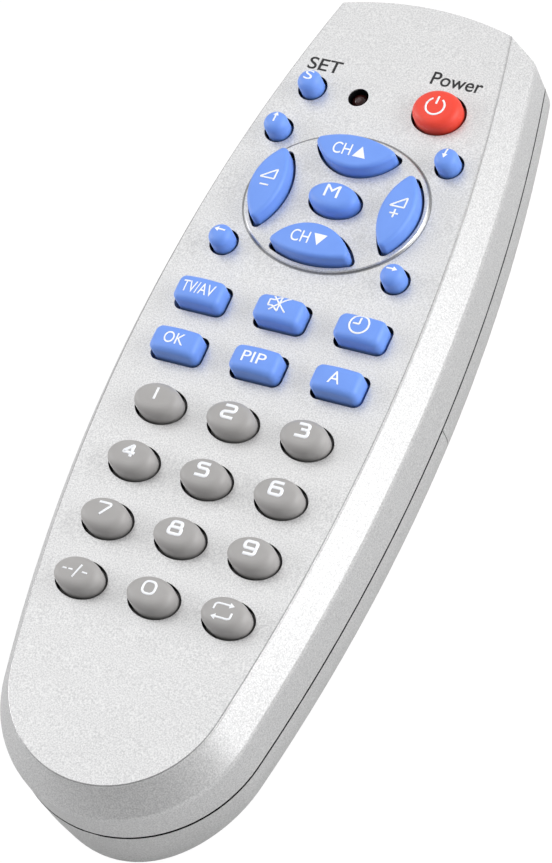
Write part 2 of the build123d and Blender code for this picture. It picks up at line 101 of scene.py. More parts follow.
# %% [markdown]
# ## Silver paint
# The case is moulded in dark grey ABS and sprayed with a satin silver paint. The paint holds fine
# aluminium flakes, which lie at slightly different angles: the eye sees a fine sparkle of lighter
# and darker specks on a soft sheen. The flakes are really about 0.05 mm wide and are drawn at
# 0.22 mm, so that they still show. A second, wider grain is the slight orange peel of sprayed
# paint. The upright walls of the key holes and the joint between the halves are painted near black,
# and the fine step round the island of arrow keys dark grey: this is painted shade for the shadow
# in these gaps, so that every gap reads as a dark line. The rounded edge of the face gets a fine
# grey line of painted shade along the shoulder, where the small step there falls into shade.
# The masks below find these places by their height under the crowned face, by where they lie and by
# how the surface faces: the Z of its normal is about 0 on an upright wall and 1 on a level face.

# %% Where the shade is painted
def centre(node):
    """The middle of a solid, seen from above."""
    low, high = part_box(node)
    return (low[0] + high[0]) / 2, (low[1] + high[1]) / 2


face_top, crown_radius = 22.7 * mm, 1190 * mm
hole_floor, hole_lip, wall_tilt = face_top - 2.4 * mm, face_top - 0.1 * mm, 0.4
holes_rear, holes_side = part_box("key_swap")[0][1] - 1.2 * mm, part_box("key_swap")[1][0]
holes_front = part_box("key_power")[1][1] - 0.35 * mm
joint_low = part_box("battery_cover")[1][2] - 0.1 * mm
joint_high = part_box("upper_case")[0][2] + 0.05 * mm
island_middle, island_half_x, island_half_y = centre("key_menu")[1], 14.7 * mm, 12.0 * mm
island_heights = 20 * mm, 24 * mm
line_inside, line_outside, ring_share = 0.984, 1.012, 0.6
edge_levels = face_top - 0.14 * mm, face_top + 0.02 * mm
edge_slopes, edge_share = (0.3, 0.985), 0.45
print("joint in mm from", round(joint_low / mm, 3), "to", round(joint_high / mm, 3))

# %% Masks of painted shade
def between(tree, value, low, high):
    """1 where a value lies between two limits, and 0 elsewhere."""
    above = add(tree, "ShaderNodeMath", {0: value, 1: low}, operation="GREATER_THAN")
    below = add(tree, "ShaderNodeMath", {0: value, 1: high}, operation="LESS_THAN")
    return add(tree, "ShaderNodeMath", {0: above.outputs[0], 1: below.outputs[0]},
               operation="MULTIPLY").outputs[0]


def all_of(tree, first, *others):
    """The product of several masks."""
    for other in others:
        first = add(tree, "ShaderNodeMath", {0: first, 1: other}, operation="MULTIPLY").outputs[0]
    return first


def any_of(tree, first, *others):
    """The strongest of several masks."""
    for other in others:
        first = add(tree, "ShaderNodeMath", {0: first, 1: other}, operation="MAXIMUM").outputs[0]
    return first


def island_line(tree, place):
    """A mask of the thin line of painted shade at the foot of the island, which is an oval from
    above.
    """
    centred = add(tree, "ShaderNodeMapping", {
        "Vector": place, "Location": (0, -island_middle / island_half_y, 0),
        "Scale": (1 / island_half_x, 1 / island_half_y, 0)})
    reach = add(tree, "ShaderNodeVectorMath", {0: centred.outputs["Vector"]}, operation="LENGTH")
    return between(tree, reach.outputs["Value"], line_inside, line_outside)


def painted_shade_mask(tree, place):
    """Painted shade: 1 on the hole walls in the face and on the joint, less on the ring and edge.
    """
    at = add(tree, "ShaderNodeSeparateXYZ", {"Vector": place}).outputs
    facing = add(tree, "ShaderNodeTexCoord").outputs["Normal"]
    up = add(tree, "ShaderNodeSeparateXYZ", {"Vector": facing}).outputs["Z"]
    squared = add(tree, "ShaderNodeMath", {0: at["Y"], 1: 2.0}, operation="POWER")
    fall = add(tree, "ShaderNodeMath", {0: squared.outputs[0], 1: 2 * crown_radius},
               operation="DIVIDE")
    level = add(tree, "ShaderNodeMath", {0: at["Z"], 1: fall.outputs[0]},
                operation="ADD").outputs[0]
    holes = all_of(
        tree, between(tree, level, hole_floor, hole_lip), between(tree, up, -wall_tilt, wall_tilt),
        between(tree, at["Y"], holes_rear, holes_front),
        between(tree, at["X"], -holes_side, holes_side))
    joint = between(tree, at["Z"], joint_low, joint_high)
    ring = all_of(
        tree, island_line(tree, place), between(tree, at["Z"], *island_heights), ring_share)
    edge = all_of(
        tree, between(tree, level, *edge_levels), between(tree, up, *edge_slopes), edge_share)
    return any_of(tree, holes, joint, ring, edge)


print("masks", between.__name__, all_of.__name__, any_of.__name__, painted_shade_mask.__name__)

# %% Silver paint
flake_width, peel_width, cloud_width = 0.22 * mm, 0.6 * mm, 14 * mm
peel_depth = 0.05 * mm


def silver_paint(name, light, dark, roughness):
    """Satin silver paint on ABS, from its lighter and darker flakes."""
    material, tree, shader, place = start(name, metallic=0.62, roughness=roughness, ior=1.5)
    flakes = add(tree, "ShaderNodeTexNoise", {
        "Vector": place, "Scale": 1 / flake_width, "Detail": 1.0}).outputs["Fac"]
    spread = add(tree, "ShaderNodeMapRange", {"Value": flakes, "From Min": 0.3, "From Max": 0.7})
    colour = add(tree, "ShaderNodeMix", {
        "Factor": spread.outputs["Result"], 6: linear(dark), 7: linear(light)}, data_type="RGBA")
    clouds = add(tree, "ShaderNodeTexNoise", {"Vector": place, "Scale": 1 / cloud_width})
    shade = add(tree, "ShaderNodeMapRange", {
        "Value": clouds.outputs["Fac"], "To Min": 0.97, "To Max": 1.03})
    tint = add(tree, "ShaderNodeHueSaturation", {
        "Color": colour.outputs[2], "Value": shade.outputs["Result"]})
    # Painted shade: the flake colour goes to near black on hole walls and the joint, and grey on
    # the ring and face edge.
    coat_with_painted_shade = add(tree, "ShaderNodeMix", {
        "Factor": painted_shade_mask(tree, place), 6: tint.outputs["Color"], 7: linear("1E1E20")},
        data_type="RGBA")
    tree.links.new(coat_with_painted_shade.outputs[2], shader.inputs["Base Color"])
    gloss = add(tree, "ShaderNodeMapRange", {
        "Value": flakes, "To Min": roughness - 0.06, "To Max": roughness + 0.08})
    tree.links.new(gloss.outputs["Result"], shader.inputs["Roughness"])
    peel = add(tree, "ShaderNodeTexNoise", {"Vector": place, "Scale": 1 / peel_width})
    bump = add(tree, "ShaderNodeBump", {
        "Height": peel.outputs["Fac"], "Strength": 0.10, "Distance": peel_depth})
    tree.links.new(bump.outputs["Normal"], shader.inputs["Normal"])
    return material


upper_paint = silver_paint("silver_paint_on_abs", "E0E0E0", "BEBEBF", 0.38)
lower_paint = silver_paint("silver_paint_lower_shell", "DADADA", "BCBCBC", 0.42)
print("paints", upper_paint.name, lower_paint.name)

# %% [markdown]
# ## Silicone rubber
# The keys are moulded in silicone, coloured right through. It is matt with a soft sheen, because
# the mould is finely blasted, so the eye sees a smooth colour that falls off gently round the
# edges. Blasting leaves pits of about 0.03 mm, drawn here at 0.12 mm.

# %% Silicone
pit_width, pit_depth, patch_width = 0.12 * mm, 0.03 * mm, 2.5 * mm


def silicone(name, base, deep):
    """Matt moulded silicone, in patches a little deeper in colour."""
    material, tree, shader, place = start(name, metallic=0.0, roughness=0.5, ior=1.43)
    patches = add(tree, "ShaderNodeTexNoise", {"Vector": place, "Scale": 1 / patch_width})
    colour = add(tree, "ShaderNodeMix", {
        "Factor": patches.outputs["Fac"], 6: linear(deep), 7: linear(base)}, data_type="RGBA")
    tree.links.new(colour.outputs[2], shader.inputs["Base Color"])
    pits = add(tree, "ShaderNodeTexNoise", {"Vector": place, "Scale": 1 / pit_width})
    bump = add(tree, "ShaderNodeBump", {
        "Height": pits.outputs["Fac"], "Strength": 0.08, "Distance": pit_depth})
    tree.links.new(bump.outputs["Normal"], shader.inputs["Normal"])
    shader.inputs["Sheen Weight"].default_value = 0.12
    shader.inputs["Sheen Roughness"].default_value = 0.4
    return material


blue_silicone = silicone("blue_silicone", "7099EA", "6891E4")
red_silicone = silicone("red_silicone", "EA4634", "E23E2C")
grey_silicone = silicone("grey_silicone", "A5A3A2", "9D9B9A")
web_silicone = silicone("grey_silicone_web", "3C3A3A", "343232")
print("rubbers", blue_silicone.name, red_silicone.name, grey_silicone.name)

# %% [markdown]
# ## Resin, lacquer and metal inside
# Nothing inside shows until the cover comes off, but each piece still gets its own finish.
# A clear or dyed resin is glossy, a moulded chip body is matt black, and plated steel is a bright
# metal with fine drawing lines along the sheet.

# %% Plain glossy and matt resins
mottle_depth = 0.02 * mm


def resin(name, base, deep, roughness, size):
    """Moulded or dipped resin with a faint mottle of a given size."""
    material, tree, shader, place = start(name, metallic=0.0, roughness=roughness, ior=1.54)
    mottle = add(tree, "ShaderNodeTexNoise", {"Vector": place, "Scale": 1 / size})
    colour = add(tree, "ShaderNodeMix", {
        "Factor": mottle.outputs["Fac"], 6: linear(deep), 7: linear(base)}, data_type="RGBA")
    tree.links.new(colour.outputs[2], shader.inputs["Base Color"])
    bump = add(tree, "ShaderNodeBump", {
        "Height": mottle.outputs["Fac"], "Strength": 0.1, "Distance": mottle_depth})
    tree.links.new(bump.outputs["Normal"], shader.inputs["Normal"])
    return material


dark_red_lens = resin("dark_red_lens_resin", "3A1512", "240B0A", 0.12, 0.8 * mm)
clear_lens = resin("smoked_lens_resin", "4A4858", "3A3846", 0.08, 1.0 * mm)
black_resin = resin("black_epoxy_resin", "1B1B1D", "121213", 0.55, 0.3 * mm)
amber_resin = resin("amber_dipped_resin", "C2701E", "A95A14", 0.25, 0.6 * mm)
capacitor_sleeve = resin("capacitor_sleeve_vinyl", "1E2A4C", "182240", 0.3, 0.5 * mm)
carbon = resin("carbon_loaded_silicone", "17171A", "0E0E10", 0.6, 0.2 * mm)
print("resins", 6)

# %% Plated steel
line_width = 0.15 * mm


def plated_steel(name, light, dark, roughness, squeeze):
    """Plated steel sheet or wire, with fine lines that run along the squeezed direction."""
    material, tree, shader, place = start(name, metallic=1.0, roughness=roughness)
    squeezed = add(tree, "ShaderNodeMapping", {"Vector": place, "Scale": squeeze})
    lines = add(tree, "ShaderNodeTexNoise", {
        "Vector": squeezed.outputs["Vector"], "Scale": 1 / line_width}).outputs["Fac"]
    colour = add(tree, "ShaderNodeMix", {
        "Factor": lines, 6: linear(dark), 7: linear(light)}, data_type="RGBA")
    tree.links.new(colour.outputs[2], shader.inputs["Base Color"])
    rough = add(tree, "ShaderNodeMapRange", {
        "Value": lines, "To Min": roughness - 0.06, "To Max": roughness + 0.06})
    tree.links.new(rough.outputs["Result"], shader.inputs["Roughness"])
    return material


nickel_steel = plated_steel("nickel_plated_spring_steel", "DCD8CE", "C6C1B4", 0.24, (1, 1, 0.1))
zinc_steel = plated_steel("zinc_plated_steel", "C9CCD0", "B0B4BA", 0.32, (1, 1, 0.2))
print("metals", nickel_steel.name, zinc_steel.name)

# %% [markdown]
# ## A resistor's bands, a cell's sleeve and a board's tracks
# These three carry a pattern that follows the piece. Bands and sleeves are read from the length
# coordinate. The tracks are the edges of a brick pattern, which run straight and square as copper
# tracks do under green solder mask.

# %% Green board
track_grid, copper_thickness = 4 * mm, 0.035 * mm


def board_laminate():
    """Green solder mask over glass laminate, with paler lines where copper runs below it."""
    material, tree, shader, place = start(
        "green_solder_mask", metallic=0.0, roughness=0.3, ior=1.5)
    tracks = add(tree, "ShaderNodeTexBrick", {
        "Vector": place, "Scale": 1 / track_grid, "Mortar Size": 0.09, "Mortar Smooth": 0.1,
        "Color1": linear("12522C"), "Color2": linear("10492A"), "Mortar": linear("2A7A48"),
        "Brick Width": 1.7, "Row Height": 0.6})
    tree.links.new(tracks.outputs["Color"], shader.inputs["Base Color"])
    bump = add(tree, "ShaderNodeBump", {
        "Height": tracks.outputs["Fac"], "Strength": 0.3, "Distance": copper_thickness})
    tree.links.new(bump.outputs["Normal"], shader.inputs["Normal"])
    return material


green_board = board_laminate()
print("board", green_board.name)

# %% Bands along the length
def banded(name, stops, roughness):
    """A finish in plain bands along Y, from where each band starts and its colour."""
    material, tree, shader, place = start(name, metallic=0.0, roughness=roughness, ior=1.5)
    split = add(tree, "ShaderNodeSeparateXYZ", {"Vector": place})
    low, high = stops[0][0], stops[-1][0]
    along = add(tree, "ShaderNodeMapRange", {
        "Value": split.outputs["Y"], "From Min": low, "From Max": high})
    ramp = add(tree, "ShaderNodeValToRGB", {"Fac": along.outputs["Result"]})
    ramp.color_ramp.interpolation = "CONSTANT"
    for number, (at, colour) in enumerate(stops[:-1]):
        share = (at - low) / (high - low)
        step = ramp.color_ramp.elements[0] if number == 0 else ramp.color_ramp.elements.new(share)
        step.position = share
        step.color = linear(colour)
    ramp.color_ramp.elements.remove(ramp.color_ramp.elements[-1])
    tree.links.new(ramp.outputs["Color"], shader.inputs["Base Color"])
    return material


steel, end_ring, black_sleeve, copper_sleeve = "C9CBD0", "D8D9DC", "17181C", "B5793A"
cell_low, cell_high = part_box("battery_left")
rear, front = cell_low[1], cell_high[1]
left_cell = banded("cell_sleeve_left", [
    (rear, steel), (rear + 0.8 * mm, black_sleeve), (rear + 31 * mm, copper_sleeve),
    (rear + 42.6 * mm, end_ring), (front, end_ring)], 0.28)
right_cell = banded("cell_sleeve_right", [
    (rear, end_ring), (rear + 1.9 * mm, copper_sleeve), (rear + 13.5 * mm, black_sleeve),
    (front - 0.8 * mm, steel), (front, steel)], 0.28)

tan_lacquer, band_colours = "C8A26A", ("7A3A1C", "1A1A1A", "B3261E")
band_pitch, band_width = 0.8 * mm, 0.4 * mm
resistor_low, resistor_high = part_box("resistors")
resistor_stops = [(resistor_low[1], tan_lacquer)]
for number, colour in enumerate(band_colours, 1):
    band = resistor_low[1] + number * band_pitch
    resistor_stops += [(band, colour), (band + band_width, tan_lacquer)]
resistor_stops.append((resistor_high[1], tan_lacquer))
resistor_bands = banded("lacquered_resistor_bands", resistor_stops, 0.3)
print("banded finishes", left_cell.name, right_cell.name, resistor_bands.name)

# %% [markdown]
# ## Each solid gets its finish
# The CAD solids stay as they are. Only the material in their slots changes.

# %% Hand out the finishes
grey_keys = ("one", "two", "three", "four", "five", "six", "seven", "eight", "nine",
             "dash", "zero", "swap")
finishes = {
    "upper_case": upper_paint, "lower_case": lower_paint, "battery_cover": lower_paint,
    "keypad_mat": web_silicone, "circuit_board": green_board, "indicator_lamp": dark_red_lens,
    "infrared_lamp": clear_lens, "battery_left": left_cell, "battery_right": right_cell,
    "case_screws": zinc_steel, "negative_contact": nickel_steel, "positive_contact": nickel_steel,
    "link_contact": nickel_steel, "control_chip": black_resin, "resonator": amber_resin,
    "filter_capacitor": capacitor_sleeve, "drive_transistor": black_resin,
    "resistors": resistor_bands, "key_power": red_silicone,
}
for name, piece in nodes.items():
    if name.startswith("key_") and name not in finishes:
        finishes[name] = grey_silicone if name[4:] in grey_keys else blue_silicone
    for slot in piece.material_slots:
        slot.material = finishes[name]
print("finished", len(finishes), "of", len(nodes))

# %% [markdown]
# ## Legends are printed ink
# The signs on the keys are white ink and the words on the case are black ink, pressed on by a
# soft pad that follows the curved surface. So each legend is first drawn flat, above its
# surface, and then laid on it. In a drawing, a loose edge is a stroke of the pen and a face is a
# filled area. A font could make the digits too, but these digits are squarish with round
# corners, and a pen with a corner radius draws them from a few points. The print on a key rides
# on that key, so it goes down with it when the key is pressed.

# %% Strokes of the digits, on a box of 2 by 2
digit_strokes = {
    "one": [[(0, -1), (0, 1)]],
    "two": [[(-0.9, 1), (1, 1), (1, 0.08), (-0.95, -0.12), (-0.95, -1), (1, -1)]],
    "three": [[(-0.9, 1), (0.9, 1), (0.9, 0.08), (-0.3, 0.08)],
              [(0.3, 0.08), (1, 0.08), (1, -1), (-1, -1)]],
    "four": [[(0.45, -1), (0.45, 1), (-1, -0.35), (1, -0.35)]],
    "five": [[(0.95, 1), (-0.8, 1), (-0.8, 0.15), (1, 0.15), (1, -1), (-0.95, -1)]],
    "six": [[(0.85, 1), (-0.95, 1), (-0.95, -1), (1, -1), (1, 0.1), (-0.9, 0.1)]],
    "seven": [[(-1, 1), (1, 1), (1, 0.6), (-0.2, -1)]],
    "eight": [[(-0.8, 0.08), (-0.8, 1), (0.8, 1), (0.8, 0.08)],
              [(-1, 0.08), (1, 0.08), (1, -1), (-1, -1), (-1, 0.08)]],
    "nine": [[(-0.85, -1), (0.95, -1), (0.95, 1), (-1, 1), (-1, -0.1), (0.9, -0.1)]],
    "zero": [[(0, 1), (1, 1), (1, -1), (-1, -1), (-1, 1), (0, 1)]],
}
print("digits", len(digit_strokes))

# %% [markdown]
# ## A tree that lays ink on a surface
# Geometry Nodes suit this well, because the same steps repeat for every legend: round the
# corners, give the pen its width, drop every point straight down on the surface, and give the
# film its thickness. The pen's width, the corner radius and the film are named inputs.

# %% Build the ink tree
pen_step, ray_length, sunk_depth, weld_distance = 0.12 * mm, 100 * mm, 0.01 * mm, 0.001 * mm
corner_steps, fill_cuts = 5, 2


def ink_tree():
    """A tree that turns a flat drawing into a film of ink on a surface."""
    tree = bpy.data.node_groups.new("printed_ink", "GeometryNodeTree")
    tree.interface.new_socket("Drawing", in_out="INPUT", socket_type="NodeSocketGeometry")
    for name, kind in (("Surface", "Object"), ("Pen width", "Float"), ("Corner radius", "Float"),
                       ("Film", "Float"), ("Ink", "Material")):
        tree.interface.new_socket(name, in_out="INPUT", socket_type=f"NodeSocket{kind}")
    tree.interface.new_socket("Print", in_out="OUTPUT", socket_type="NodeSocketGeometry")
    given = add(tree, "NodeGroupInput").outputs
    sides = add(tree, "GeometryNodeInputMeshEdgeNeighbors").outputs["Face Count"]
    lone = add(tree, "FunctionNodeCompare", {2: sides}, data_type="INT", operation="EQUAL")
    path = add(tree, "GeometryNodeMeshToCurve", {
        "Mesh": given["Drawing"], "Selection": lone.outputs["Result"]})
    soft = add(tree, "GeometryNodeFilletCurve", {
        "Curve": path.outputs["Curve"], "Radius": given["Corner radius"], "Count": corner_steps,
        "Limit Radius": True}, mode="POLY")
    even = add(tree, "GeometryNodeResampleCurve", {
        "Curve": soft.outputs["Curve"], "Length": pen_step}, mode="LENGTH")
    right = add(tree, "ShaderNodeVectorMath", {0: (0.5, 0, 0), "Scale": given["Pen width"]},
                operation="SCALE")
    left = add(tree, "ShaderNodeVectorMath", {0: (-0.5, 0, 0), "Scale": given["Pen width"]},
               operation="SCALE")
    nib = add(tree, "GeometryNodeCurvePrimitiveLine", {
        "Start": left.outputs["Vector"], "End": right.outputs["Vector"]})
    ribbon = add(tree, "GeometryNodeCurveToMesh", {
        "Curve": even.outputs["Curve"], "Profile Curve": nib.outputs["Curve"]})
    fills = add(tree, "GeometryNodeDeleteGeometry", {
        "Geometry": given["Drawing"], "Selection": lone.outputs["Result"]}, domain="EDGE")
    finer = add(tree, "GeometryNodeSubdivideMesh", {
        "Mesh": fills.outputs["Geometry"], "Level": fill_cuts})
    flat = add(tree, "GeometryNodeJoinGeometry")
    tree.links.new(ribbon.outputs["Mesh"], flat.inputs["Geometry"])
    tree.links.new(finer.outputs["Mesh"], flat.inputs["Geometry"])
    surface = add(tree, "GeometryNodeObjectInfo", {"Object": given["Surface"]})
    hit = add(tree, "GeometryNodeRaycast", {
        "Target Geometry": surface.outputs["Geometry"], "Ray Direction": (0, 0, -1),
        "Ray Length": ray_length})
    sunk = add(tree, "ShaderNodeVectorMath", {
        0: hit.outputs["Hit Position"], 1: (0, 0, -sunk_depth)}, operation="ADD")
    laid = add(tree, "GeometryNodeSetPosition", {
        "Geometry": flat.outputs["Geometry"], "Selection": hit.outputs["Is Hit"],
        "Position": sunk.outputs["Vector"]})
    top = add(tree, "GeometryNodeExtrudeMesh", {
        "Mesh": laid.outputs["Geometry"], "Offset": (0, 0, 1), "Offset Scale": given["Film"],
        "Individual": False})
    foot = add(tree, "GeometryNodeFlipFaces", {"Mesh": laid.outputs["Geometry"]})
    film = add(tree, "GeometryNodeJoinGeometry")
    tree.links.new(top.outputs["Mesh"], film.inputs["Geometry"])
    tree.links.new(foot.outputs["Mesh"], film.inputs["Geometry"])
    whole = add(tree, "GeometryNodeMergeByDistance", {
        "Geometry": film.outputs["Geometry"], "Distance": weld_distance})
    real = add(tree, "GeometryNodeRealizeInstances", {"Geometry": whole.outputs["Geometry"]})
    inked = add(tree, "GeometryNodeSetMaterial", {
        "Geometry": real.outputs["Geometry"], "Material": given["Ink"]})
    add(tree, "NodeGroupOutput", {"Print": inked.outputs["Geometry"]})
    return tree


printed_ink = ink_tree()
print("ink tree nodes", len(printed_ink.nodes))

# %% Turn a modifier's result into a plain mesh
def made_plain(name, source, tree, values):
    """Run a tree on an object and keep only the mesh that comes out."""
    modifier = source.modifiers.new("shape", "NODES")
    modifier.node_group = tree
    for socket in tree.interface.items_tree:
        if socket.in_out == "INPUT" and socket.name in values:
            modifier[socket.identifier] = values[socket.name]
    bpy.context.view_layer.update()
    seen = source.evaluated_get(bpy.context.evaluated_depsgraph_get())
    mesh = bpy.data.meshes.new_from_object(seen)
    source.modifiers.remove(modifier)
    bpy.data.objects.remove(source)
    shell = bmesh.new()
    shell.from_mesh(mesh)
    bmesh.ops.recalc_face_normals(shell, faces=shell.faces)
    shell.to_mesh(mesh)
    shell.free()
    piece = bpy.data.objects.new(name, mesh)
    bpy.context.collection.objects.link(piece)
    return piece


print("inputs by name", [s.name for s in printed_ink.interface.items_tree if s.in_out == "INPUT"])

# %% [markdown]
# ## Ink
# Pad-printed ink is a thin lacquer with a slight sheen. A little grain in its colour keeps it
# from looking like a light.

# %% White and black ink
wear_width = 0.5 * mm


def ink(name, base, worn):
    """Pad-printed ink, faintly uneven where the pad lifts."""
    material, tree, shader, place = start(name, metallic=0.0, roughness=0.45, ior=1.5)
    wear = add(tree, "ShaderNodeTexNoise", {"Vector": place, "Scale": 1 / wear_width})
    colour = add(tree, "ShaderNodeMix", {
        "Factor": wear.outputs["Fac"], 6: linear(worn), 7: linear(base)}, data_type="RGBA")
    tree.links.new(colour.outputs[2], shader.inputs["Base Color"])
    return material


white_ink = ink("white_pad_ink", "F7F8FA", "E9ECF2")
black_ink = ink("black_pad_ink", "0E0E10", "17181A")
print("inks", white_ink.name, black_ink.name)

# %% Draw a legend flat and lay it on its surface
drawing_height, ink_film = 60 * mm, 0.04 * mm


def lettering(words, width, height, weight):
    """Words as filled faces, made bolder by a weight, stretched to a size and centred."""
    curve = bpy.data.curves.new("words", "FONT")
    curve.body = words
    curve.offset = weight
    holder = bpy.data.objects.new("words", curve)
    bpy.context.collection.objects.link(holder)
    bpy.context.view_layer.update()
    mesh = bpy.data.meshes.new_from_object(
        holder.evaluated_get(bpy.context.evaluated_depsgraph_get()))
    bpy.data.objects.remove(holder)
    xs, ys = [v.co.x for v in mesh.vertices], [v.co.y for v in mesh.vertices]
    grow = Matrix.Diagonal((width / (max(xs) - min(xs)), height / (max(ys) - min(ys)), 1, 1))
    to_centre = Matrix.Translation((-(max(xs) + min(xs)) / 2, -(max(ys) + min(ys)) / 2, 0))
    mesh.transform(grow @ to_centre)
    return mesh


def legend(name, surface, body, ink_used, at, strokes=(), fills=(), words=(), pen=0.4, corner=0.3,
           weight=0.0):
    """Print strokes, filled shapes and words on a surface, around a place. Sizes are in mm."""
    drawing = bmesh.new()
    for shape in (*strokes, *fills):
        closed = shape in fills or shape[0] == shape[-1]
        points = shape[:-1] if shape[0] == shape[-1] else shape
        dots = [drawing.verts.new((x, y, 0)) for x, y in points]
        if shape in fills:
            drawing.faces.new(dots)
            continue
        for one, other in zip(dots, dots[1:] + (dots[:1] if closed else [])):
            drawing.edges.new((one, other))
    for text, width, height, x, y in words:
        mesh = lettering(text, width, height, weight)
        mesh.transform(Matrix.Translation((x, y, 0)))
        drawing.from_mesh(mesh)
    drawing.transform(Matrix.Translation((*at, drawing_height)) @ Matrix.Scale(mm, 4))
    flat = bpy.data.meshes.new(name)
    drawing.to_mesh(flat)
    drawing.free()
    source = bpy.data.objects.new(name, flat)
    bpy.context.collection.objects.link(source)
    piece = made_plain(name, source, printed_ink, {
        "Surface": nodes[surface], "Pen width": pen * mm, "Corner radius": corner * mm,
        "Film": ink_film, "Ink": ink_used})
    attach(piece, body)
    return piece


def on_key(key, lift=0.0, **drawn):
    """Print white ink on a key's top, in its middle or a lift in mm towards the front of it."""
    x, y = centre(f"key_{key}")
    return legend(f"legend_{key}", f"key_{key}", f"key_{key}", white_ink, (x, y + lift * mm),
                  **drawn)


print("middle of the OK key in mm", [round(v / mm, 2) for v in centre("key_ok")])

# %% [markdown]
# ## The number keys
# The digits are about 2.4 mm high and, but for the one, as wide. The pen is heavy, except for the
# one, the seven and the zero. The four, the seven and the zero have corner radii of their own.

# %% Print the digits
half_width, half_height, digit_lift = 0.97, 0.98, 0.45
light_pen, heavy_pen, light_digits = 0.38, 0.5, ("one", "seven", "zero")
usual_corner, digit_corners = 0.38, {"zero": 0.75, "seven": 0.15, "four": 0.08}
for key, strokes in digit_strokes.items():
    on_key(key, strokes=[[(x * half_width, y * half_height) for x, y in s] for s in strokes],
           pen=light_pen if key in light_digits else heavy_pen,
           corner=digit_corners.get(key, usual_corner), lift=digit_lift)
print("digits printed", len(digit_strokes))

# %% [markdown]
# ## Signs and words
# Circles and arcs are drawn as many short strokes. Solid triangles and arrow heads are faces.

# %% Helpers for round signs and arrows
def arc(radius, start_angle, end_angle, x=0.0, y=0.0, steps=28):
    """Points round a centre, from one angle to another, in degrees."""
    turns = [radians(start_angle + (end_angle - start_angle) * i / steps) for i in range(steps + 1)]
    return [(x + radius * cos(t), y + radius * sin(t)) for t in turns]


def arrow(turn, length=1.75, head=0.85):
    """A stroke and a solid head, 0.8 as deep as wide, pointing up before a turn in degrees."""
    way = Matrix.Rotation(radians(turn), 2)
    tip, back = length / 2, length / 2 - head * 0.8
    shaft, point = [(0, -tip), (0, back)], [(-head / 2, back), (head / 2, back), (0, tip)]
    return [[[tuple(way @ Vector(p)) for p in shape]] for shape in (shaft, point)]


print("points on a full turn", len(arc(1.0, 0, 360)))

# %% Print the arrows, the letters and the volume signs
fine_pen, sharp = 0.26, 0.02
for key, turn in (("up", 0), ("down", 180), ("left", 90), ("right", -90)):
    shaft, tip = arrow(turn)
    on_key(key, strokes=shaft, fills=tip, pen=fine_pen, lift=0.5)
on_key("setup", words=[("S", 1.35, 1.7, 0, 0.5)])
on_key("menu", words=[("M", 2.3, 2.1, 0, 0.5)])
channel_word = ("CH", 3.0, 1.95, -1.6, 0)
on_key("channel_up", words=[channel_word], fills=[[(0.4, -0.95), (2.5, -0.95), (1.45, 0.95)]])
on_key("channel_down", words=[channel_word], fills=[[(0.4, 0.95), (1.45, -0.95), (2.5, 0.95)]])
wedge = [(-1.2, 0.3), (1.1, 0.3), (1.1, 2.0), (-1.2, 0.3)]
level_bar, upright_bar = [(-0.75, -0.9), (0.65, -0.9)], [(-0.05, -1.6), (-0.05, -0.2)]
on_key("volume_down", strokes=[wedge, level_bar], pen=fine_pen, corner=sharp)
on_key("volume_up", strokes=[wedge, level_bar, upright_bar], pen=fine_pen, corner=sharp)
on_key("input", words=[("TV/AV", 5.3, 1.9, 0, 0.1)])
on_key("ok", words=[("OK", 3.3, 1.85, 0, 0.1)])
on_key("pip", words=[("PIP", 3.8, 1.75, 0, 0.1)])
on_key("a", words=[("A", 1.9, 2.0, 0, 0.1)])
print("arrows, letters and volume signs printed")

# %% Print the clock, the speaker, the dashes, the swap sign and the power sign
clock_hands = [(0, 1.1), (0, 0), (-1.0, 0)]
on_key("timer", strokes=[arc(1.5, 0, 360), clock_hands], pen=0.28, corner=sharp, lift=0.4)
speaker = [(-1.6, -0.5), (-1.6, 0.5), (-0.8, 0.5), (0.15, 1.25), (0.15, -1.25), (-0.8, -0.5),
           (-1.6, -0.5)]
cross = [[(-1.2, 1.2), (1.4, -1.2)], [(1.4, 1.3), (-1.2, -1.25)]]
on_key("mute", strokes=[speaker, *cross], pen=0.24, corner=sharp, lift=0.6)
on_key("dash", strokes=[[(-2.05, 0), (-1.35, 0)], [(-1.05, 0), (-0.35, 0)],
                        [(0.0, -1.1), (0.75, 1.1)], [(1.2, 0), (2.0, 0)]], pen=fine_pen)
on_key("swap", strokes=[
    [(-1.5, 0.0), (-1.5, 1.05), (1.1, 1.05)], [(1.5, 0.0), (1.5, -1.05), (-1.1, -1.05)]],
    fills=[[(0.75, 0.6), (1.5, 1.05), (0.75, 1.5)], [(-0.75, -0.6), (-1.5, -1.05), (-0.75, -1.5)]],
    pen=0.3, corner=0.5)
on_key("power", strokes=[arc(1.45, 122, 418), [(0, 0.35), (0, 1.75)]], pen=0.3, corner=sharp)
print("signs printed")

# %% Print the two words on the case
for name, word in (("legend_set", ("SET", 5.5, 2.2, -12.0, 54.2)),
                   ("legend_power_word", ("Power", 8.4, 2.3, 9.45, 55.9))):
    legend(name, "upper_case", "case", black_ink, (0, 0), words=[word], weight=0.008)
print("words printed")

# %% [markdown]
# ## Carbon combs on the board
# Under every key the board carries two interlocking combs of carbon ink. The black pill of the
# key bridges them when it is pressed. Only their fingers are drawn. The same row of fingers
# repeats under 29 keys, so it is built once and instanced on a point for each key.

